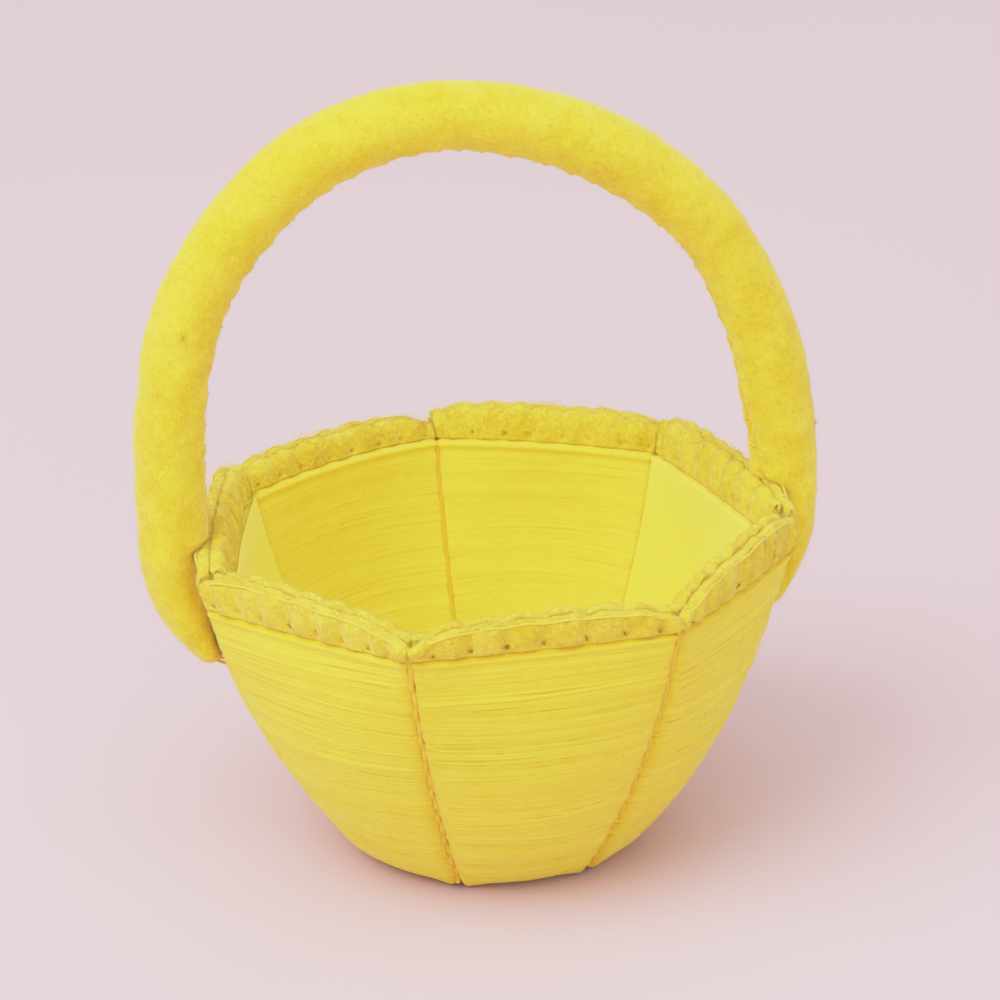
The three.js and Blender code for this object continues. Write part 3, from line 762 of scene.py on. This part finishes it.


def rim_stitches(name, index):
    """The thread that runs along a petal's top edge, and the hairpins that hold it."""
    rng = np.random.default_rng(700 + index)
    width = half_width(YARN_TOP) - 0.1
    stitch_x = stitch_places(name, index) * width

    def at(x, depth, level, sunk=0.0):
        return place(name, x, depth, level) - UP * sunk

    edge = [at(-width * 0.97, 1.2, RIM_TOP - 0.7, 0.2)]
    for i, x in enumerate(stitch_x):
        edge.append(at(x, 0.55, RIM_TOP - 0.25, 0.3))
        if i + 1 < len(stitch_x):
            between = (x + stitch_x[i + 1]) / 2
            edge.append(at(between, 0.25 + rng.uniform(-0.15, 0.15), RIM_TOP - 0.3, rng.uniform(-0.1, 0.15)))
    edge.append(at(width * 0.97, 1.2, RIM_TOP - 0.7, 0.2))
    parts = [tube(spline(edge, 260), EDGE_THREAD, 7, plies=2)]
    for x in stitch_x:
        lean = rng.uniform(-0.3, 0.3)
        outside = [
            at(x + lean, 1.2, YARN_TOP + 0.85), at(x + lean, 0.85, YARN_TOP + 1.1),
            at(x + 0.5 * lean, 0.75, YARN_TOP + 2.4), at(x, 0.6, RIM_TOP - 1.0, 0.2),
            at(x, 0.75, RIM_TOP, 0.4), at(x - 0.1, 2.1, RIM_TOP, 0.45),
        ]
        inside = [
            at(x - 0.1, 2.1, RIM_TOP, 0.45), at(x - 0.1, 3.3, RIM_TOP, 0.6),
            at(x - 0.2, 3.6, RIM_TOP - 0.9, 0.3), at(x - 0.3 * lean, 3.5, YARN_TOP + 2.3),
            at(x - lean, 3.2, YARN_TOP + 1.3),
        ]
        parts.append(tube(spline(outside, 40), HAIRPIN_THREAD, 6, plies=2))
        parts.append(tube(spline(inside, 36), HAIRPIN_THREAD, 6, plies=2))
    # Short threads at the needle holes, painted dark as painted shade of the holes.
    knots = []
    for x in stitch_x[::HOLE_SHADE_MARKS[name]] if name in HOLE_SHADE_MARKS else ():
        start = at(x, 0.5, YARN_TOP + 0.8)
        end = at(x + rng.uniform(-0.3, 0.3), 0.1, YARN_TOP + rng.uniform(1.1, 1.5))
        knots.append(tube(spline([start, (start + end) / 2 + [0.1, 0, 0], end], 12), HOLE_SHADE_THREAD, 6))
    if knots:
        thread_piece(f"knots_{name}", turned_parts(knots, index), DARK_THREAD, "rim_thread")
    for _ in range(LOOSE_THREADS.get(name, 1)):
        start = rng.uniform(-0.8, 0.4) * width
        reach = rng.uniform(2.0, 6.0)
        strand = []
        for t in np.linspace(0, 1, 6):
            wander = rng.uniform(-0.35, 0.35)
            strand.append(at(start + reach * t, 0.6 + wander, RIM_TOP, -rng.uniform(0.1, 0.6)))
        parts.append(tube(spline(strand, 50), LOOSE_THREAD, 5))
    replaced = [f"rim_stitching_{name}"]
    thread_piece(f"stitches_{name}", turned_parts(parts, index), RIM_THREAD, "rim_thread", replaced)


# ---------------------------------------------------------------- seams between petals
CROSSINGS, SWING = 19, 0.16
LACING_RADIUS, INNER_LACING_RADIUS, LACING_LAY = 0.44, 0.30, 1.6


def seam(name, index):
    """The thread that laces a petal to the one on its left, to and fro across their groove."""
    rng = np.random.default_rng(900 + index)
    low_end, high_end = YARN_BOTTOM + 1.2, YARN_TOP + 0.9
    spacing = (high_end - low_end) / (CROSSINGS - 1)
    points = []
    for i in range(CROSSINGS):
        z = low_end + spacing * i
        swing = SWING if i % 2 else -SWING
        points.append([swing, 0.95 - CORNER_RADIUS(z), z + rng.uniform(-0.2, 0.2)])
        points.append([rng.uniform(-0.08, 0.08), 0.80 - CORNER_RADIUS(z), z + spacing / 2])
    outside = tube(spline(points, 420), LACING_RADIUS, 8, plies=3, lay=LACING_LAY)
    heights = np.linspace(YARN_BOTTOM + 5, YARN_TOP - 0.6, 30)
    reach = CORNER_RADIUS(heights) - WALL / COS + 0.22
    inner_line = np.stack([rng.uniform(-0.06, 0.06, 30), -reach, heights], -1)
    inside = tube(spline(inner_line, 300), INNER_LACING_RADIUS, 7, plies=3, lay=LACING_LAY)
    placed = turned_parts((outside, inside), index - 0.5)
    thread_piece(f"lacing_{name}", placed, SEAM_THREAD, "seam_thread", [f"seam_thread_{name}"])


# ---------------------------------------------------------------- linings and base
LINING_AT, LINING_THICK, LINING_SIDE = 4.8, 0.4, 0.3
LINING_GRID = 60
BASE_AIR = 0.5


def lining(name, index):
    """A thin smooth cloth over the inner face of a petal that carries the handle."""
    rows = columns = LINING_GRID
    level = np.linspace(YARN_BOTTOM + 6.0, YARN_TOP + 0.1, rows)[:, None]
    across = np.linspace(-1, 1, columns)[None, :]
    wrinkle_at = np.stack(np.broadcast_arrays(level, across * 15, 0.0), -1)
    wrinkles = 0.08 * lattice(wrinkle_at, 9.0, 40 + index)
    layers = []
    for depth in (LINING_AT + LINING_THICK, LINING_AT):
        x = across * (half_width(level) - depth * TAN - LINING_SIDE)
        layers.append(place(name, x, depth + wrinkles, level))
    grid = turned(np.concatenate(layers, 1), index)
    loop = grid[:, np.r_[0:columns, 2 * columns - 1:columns - 1:-1]]
    caps = []
    for row, flip in ((0, 1), (rows - 1, -1)):
        for i in range(columns - 1):
            j = 2 * columns - 1 - i
            caps.append([row * 2 * columns + k for k in (i, i + 1, j - 1, j)][::flip])
    faces = [grid_faces(rows, 2 * columns, False, True), np.array(caps)]
    points, replaced = loop.reshape(-1, 3), [f"lining_{name}"]
    piece = make_piece(f"lining_cloth_{name}", points, faces, LINING, "lining", replaced)
    bevel = piece.modifiers.new("soft_edge", "BEVEL")
    bevel.width, bevel.segments, bevel.limit_method = 0.12 * MM, 2, "ANGLE"


def inner_reach(z, from_middle):
    """From the axis to the bowl's inner face, at an angle from the nearest petal's middle."""
    share = np.tan(from_middle) / TAN
    return (face(z) - WALL + BULGE(z) * (1 - share**2)) / np.cos(from_middle)


def felt_plate(node, seed):
    """A felt disc of the base, with soft edges and a matted surface."""
    bottom, top = low(node)[2], high(node)[2]
    thick = top - bottom
    inward = np.linspace(0.02, 0.96, 40)
    bend = np.linspace(0, math.pi, 9)
    shares = np.concatenate([inward, 1 - 0.02 + 0.02 * np.sin(bend), inward[::-1]])
    heights = np.concatenate([np.full(40, thick), thick / 2 * (1 + np.cos(bend)), np.zeros(40)])
    angles = np.linspace(0, 2 * math.pi, 140, endpoint=False)
    from_middle = (angles + STEP / 2) % STEP - STEP / 2
    radius = shares[:, None] * (inner_reach(bottom, from_middle) - BASE_AIR)[None, :]
    grid = np.stack(np.broadcast_arrays(
        radius * np.sin(angles), -radius * np.cos(angles), bottom + heights[:, None]), -1)
    bumps = 0.08 * lattice(grid, 1.6, seed) + 0.04 * lattice(grid, 0.6, seed + 1)
    grid[..., 2] += np.where(heights[:, None] > thick / 2, bumps, 0.0)
    rows, columns = grid.shape[:2]
    centre = np.array([[0, 0, top], [0, 0, bottom]])
    faces = [grid_faces(rows, columns, False, True), end_fans(rows, columns)[:, ::-1]]
    make_piece(f"{node}_disc", np.concatenate([grid.reshape(-1, 3), centre]), faces, FELT, "felt", [node])


BASE_STITCHES = 42
# The course of a stitch: how far out from its middle, along the seam, and up.
BASE_STITCH = ((-1.6, 0.0, -0.75), (-0.9, 0.3, 0.12), (0.0, 0.6, 0.5), (0.7, 0.9, 1.0))


def base_seam():
    """Small stitches that sew the floor to the petals, all round the inside corner."""
    z = (low("base_seam_thread")[2] + high("base_seam_thread")[2]) / 2
    parts = []
    for i in range(BASE_STITCHES):
        a = 2 * math.pi * (i + 0.5) / BASE_STITCHES
        from_middle = (a + STEP / 2) % STEP - STEP / 2
        radius = inner_reach(z, from_middle) - 0.7
        outward = np.array([math.sin(a), -math.cos(a), 0])
        side = np.array([math.cos(a), math.sin(a), 0])
        points = [outward * (radius + out) + side * over + UP * (z + rise) for out, over, rise in BASE_STITCH]
        parts.append(tube(spline(points, 16), 0.2, 6, plies=3))
    thread_piece("base_stitches", parts, SEAM_THREAD, "seam_thread", ["base_seam_thread"])


# ---------------------------------------------------------------- handle
# The hoop's middle line, x and z, from the left foot over the top to the right foot, as in the frame.
HANDLE_LINE = [
    (-40.6, 32.6), (-42.2, 35.6), (-44.2, 40.0), (-45.9, 47.0), (-46.3, 56.0), (-45.7, 70.2), (-42.3, 85.7),
    (-34.0, 98.7), (-22.3, 108.1), (-7.6, 111.9), (7.5, 109.8), (21.6, 103.3), (33.8, 92.1), (41.2, 77.1),
    (44.6, 60.6), (45.1, 52.0), (44.5, 43.5), (43.0, 37.3), (40.8, 32.0),
]
HANDLE_RADIUS = 5.05
HANDLE_RINGS, HANDLE_SIDES = 700, 80
WHIP_PITCH = 4.4
LEG_TOP = RIM_TOP + 12
CORE_RADIUS = 2.3
FOOT_NORMAL = (math.sin(2 * STEP), -math.cos(2 * STEP))
FOOT_AIR = -0.15  # the foot presses into the yarn
RIM_GIVE = 0.4  # how far the leg sinks into the soft rim
FOOT_LENGTH, FOOT_SLIM, TIP_LENGTH = 15, 0.42, 2.6  # a foot's taper, and its rounded tip
SEAM_TURN, SEAM_TURN_FROM = 0.75, 68.0  # the seam turns to the front low on the legs
CREASE, LIP, LIP_REST, DIMPLE = 0.4, 0.24, 0.10, 0.5  # relief of the whip-stitched seam
ROUGHNESS = ((0.14, 5.0, 21), (0.11, 1.9, 22), (0.06, 0.7, 23))  # height, size and seed of the felt's lumps
# A whip stitch: rows along the handle, columns round it, and how deep it lies.
WHIP_STITCH = ((-1, -6, 0.3), (-0.5, -3, -0.05), (0, 0, -0.1), (0.5, 3, -0.05), (1, 6, 0.3))
# A foot stitch: up from the tip, out from the petal, and sideways.
FOOT_STITCH = ((-0.7, -0.6, -0.4), (-0.4, 0.5, -0.2), (0.5, 1.6, 0.0), (2.0, 2.9, 0.3), (3.0, 1.9, 0.5))


def leg_limit(y, z):
    """The least |x| of the handle beside the petal that it is sewn to."""
    level = np.minimum(z, RIM_TOP)
    sideways = FOOT_NORMAL[0] * y - FOOT_NORMAL[1] * face(level) / FOOT_NORMAL[0]
    share = np.clip(sideways / half_width(level), -1, 1)
    out = face(level) + BULGE(np.minimum(level, YARN_TOP)) * (1 - share**2)
    air = FOOT_AIR - RIM_GIVE * np.clip((z - YARN_TOP + 1) / 3, 0, 1)
    return (out - FOOT_NORMAL[1] * y) / FOOT_NORMAL[0] + air - 1.2 * np.maximum(z - RIM_TOP + 1, 0)


def handle():
    rng = np.random.default_rng(1200)
    line = spline([(x, 0.0, z) for x, z in HANDLE_LINE], HANDLE_RINGS)
    sideways, outward = side_frames(line, np.array([0.0, 1.0, 0.0]))
    centre = np.array([0.0, 0.0, 66.0])
    sign = np.sign(((line - centre) * outward).sum(1)).mean()
    outward = outward * sign
    run = distances(line)
    length = run[-1]
    from_end = np.minimum(run, length - run)
    taper = np.clip(from_end / FOOT_LENGTH, 0, 1)
    slim = FOOT_SLIM + (1 - FOOT_SLIM) * np.sin(taper * math.pi / 2) ** 1.1
    tip = np.sqrt(np.clip(1 - (1 - np.clip(from_end / TIP_LENGTH, 0, 1)) ** 2, 0.0, 1))
    half_size = np.maximum(HANDLE_RADIUS * slim * tip, 0.3)
    gap = np.abs(line[:, 0]) - half_size - leg_limit(0.0, line[:, 2])
    drawn_in = np.maximum(gap, 0) * np.clip((YARN_TOP - line[:, 2]) / 5, 0, 1)
    line[:, 0] -= np.sign(line[:, 0]) * drawn_in
    angle = np.linspace(0, 2 * math.pi, HANDLE_SIDES, endpoint=False)
    low_leg = np.clip((SEAM_TURN_FROM - line[:, 2]) / 20, 0, 1)
    seam_angle = math.pi + SEAM_TURN * low_leg * np.sign(line[:, 0])
    beat = run / WHIP_PITCH + 0.24 * waves(rng, 4, 20, 60, length)(run)
    pull = np.abs(np.cos(math.pi * beat)) ** 6
    puff = 0.5 - 0.5 * np.cos(2 * math.pi * beat + math.pi)
    thickness = HANDLE_RADIUS * (1 + 0.022 * waves(rng, 6, 12, 60, length)(run))
    away = (angle[None, :] - seam_angle[:, None] + math.pi) % (2 * math.pi) - math.pi
    crease = np.exp(-((away / 0.10) ** 2))
    lips = np.exp(-(((np.abs(away) - 0.34) / 0.26) ** 2))
    dimple = np.exp(-((away / 0.17) ** 2)) * pull[:, None]
    radius = thickness[:, None] * np.ones_like(away)
    radius += -CREASE * crease + (LIP * puff[:, None] - LIP_REST) * lips - DIMPLE * dimple
    in_plane = radius * slim[:, None] * tip[:, None]
    across = radius * (0.82 + 0.18 * slim[:, None]) * tip[:, None]
    grid = line[:, None] + (in_plane * np.cos(angle))[..., None] * outward[:, None]
    grid = grid + (across * np.sin(angle))[..., None] * sideways[:, None]
    rough = sum(height * lattice(grid, size, seed) for height, size, seed in ROUGHNESS)
    grid = grid + unit(grid - line[:, None]) * (rough * tip[:, None])[..., None]
    sign = np.sign(line[:, :1])
    outside = np.abs(line[:, :1]) + half_size[:, None]
    size = grid[..., 0] * sign
    squeeze = np.clip((outside - leg_limit(grid[..., 1], grid[..., 2])) / (2 * half_size[:, None]), 0, 1)
    squeezed = sign * (outside - (outside - size) * squeeze)
    grid[..., 0] = np.where(line[:, 2:] < LEG_TOP, squeezed, grid[..., 0])
    quads = grid_faces(HANDLE_RINGS, HANDLE_SIDES, False, True)[:, ::-1]
    faces = [quads, end_fans(HANDLE_RINGS, HANDLE_SIDES)]
    points = np.concatenate([grid.reshape(-1, 3), [grid[0].mean(0), grid[-1].mean(0)]])
    make_piece("handle_tube", points, faces, HANDLE_FELT, "handle_felt", ["handle_felt"])
    hairs = []
    looped = np.concatenate([grid, grid[:, :1]], 1)
    for _ in range(3):
        at, normal = scattered(rng, looped, 5200)
        nearest = np.argmin(np.abs(at[:, None, ::2] - line[None, ::10, ::2]).sum(-1), 1) * 10
        side = np.sign(((at - line[nearest]) * normal).sum(1))
        hairs.append(fibres(rng, at, normal * side[:, None], (0.7, 2.4), (0.1, 0.6), 0.012))
    for i, (points, faces) in enumerate(hairs):
        make_piece(f"handle_fuzz_{i}", points, faces, HANDLE_FELT, "handle_felt")
    whip_stitches(grid, run, beat, away)
    core = tube(line[60:-60:4], CORE_RADIUS * slim[60:-60:4], 24, plies=3, lay=14)
    thread_piece("handle_rope", [core], CORD, "core_cord", ["handle_core"])


def whip_stitches(grid, run, beat, away):
    """The slanting stitches that close the handle's seam."""
    parts = []
    stitch = np.floor(beat).astype(int)
    for number in range(2, stitch.max() - 1):
        row = int(np.argmin(np.abs(beat - number)))
        if grid[row, :, 2].mean() < RIM_TOP + 3:
            continue
        middle = int(np.argmin(np.abs(away[row])))
        step = int(round(1.2 / (run[1] - run[0])))
        points = []
        for rows_on, columns_on, deep in WHIP_STITCH:
            r = int(np.clip(row + rows_on * step, 0, len(grid) - 1))
            place = grid[r, (middle + columns_on) % HANDLE_SIDES]
            points.append(place + unit(grid[r].mean(0) - place) * deep)
        parts.append(tube(spline(points, 20), 0.17, 6, plies=3))
    thread_piece("handle_whipping", parts, RIM_THREAD, "rim_thread", ["handle_seam_thread"])


def foot_stitches(side_name, sign, tip):
    """Two thick stitches that hold the tip of a foot against the yarn."""
    parts = []
    for y in (-1.4, 0.3):
        points = []
        for rise, out, sway in FOOT_STITCH:
            z = tip + rise
            points.append((sign * (leg_limit(y, z) - FOOT_AIR + out), y + sway, z))
        parts.append(tube(spline(points, 30), 0.22, 7, plies=3))
    replaced = [f"foot_thread_{side_name}"]
    thread_piece(f"foot_stitches_{side_name}", parts, SEAM_THREAD, "seam_thread", replaced)


# ---------------------------------------------------------------- lint
def lint():
    """A pulled tuft and a dark speck on the handle, and an orange thread end on the front rim."""
    rng = np.random.default_rng(1500)
    for name, at, away, count, material in (
        ("pulled_tuft", (49.1, -1.0, 60.2), (0.9, -0.4, 0.2), 26, HANDLE_FELT),
        ("dark_speck", (-43.6, -4.9, 84.5), (-0.3, -0.9, 0.3), 9, DARK_THREAD),
    ):
        roots = np.array(at) + rng.normal(0, 0.2, (count, 3))
        outward = np.tile(unit(np.array(away)), (count, 1))
        points, faces = fibres(rng, roots, outward, (0.5, 1.2), (0.7, 2.2), 0.04)
        extra = {"tone": np.full(len(points), 0.5), "flow": points * 0.4}
        make_piece(name, points, faces, material, "handle_felt", **extra)
    course = (2.6, 0.3, 0.9), (2.3, -0.1, 2.2), (2.7, 0.1, 3.6), (2.2, 1.2, RIM_TOP - YARN_TOP)
    path = [place("front", x, depth, YARN_TOP + rise) for x, depth, rise in course]
    thread_piece("stray_end", [tube(spline(path, 30), 0.08, 6)], SEAM_THREAD, "seam_thread")


# ---------------------------------------------------------------- build
FLOOR_REACH = 3  # metres


def add_floor():
    mesh = bpy.data.meshes.new("floor")
    r = FLOOR_REACH
    mesh.from_pydata([(-r, -r, 0), (r, -r, 0), (r, r, 0), (-r, r, 0)], [], [(0, 1, 2, 3)])
    mesh.materials.append(FLOOR)
    add_object("floor", mesh)


def dress_hidden_nodes():
    """The cards inside the petals and the base keep their shape and get their material."""
    for name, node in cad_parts.items():
        if "card" in name:
            node.data.materials.clear()
            node.data.materials.append(CARD)


add_camera()
add_light()
set_film()
add_floor()
dress_hidden_nodes()
for number, petal in enumerate(PETALS):
    wound_petal(petal, number)
    felt_petal(petal, number, "outer")
    felt_petal(petal, number, "inner")
    rim_stitches(petal, number)
    seam(petal, number)
for petal in ("right", "left"):
    lining(petal, PETALS.index(petal))
felt_plate("base_felt", 31)
felt_plate("floor_felt", 32)
base_seam()
handle()
foot_stitches("left", -1, HANDLE_LINE[0][1])
foot_stitches("right", 1, HANDLE_LINE[-1][1])
lint()
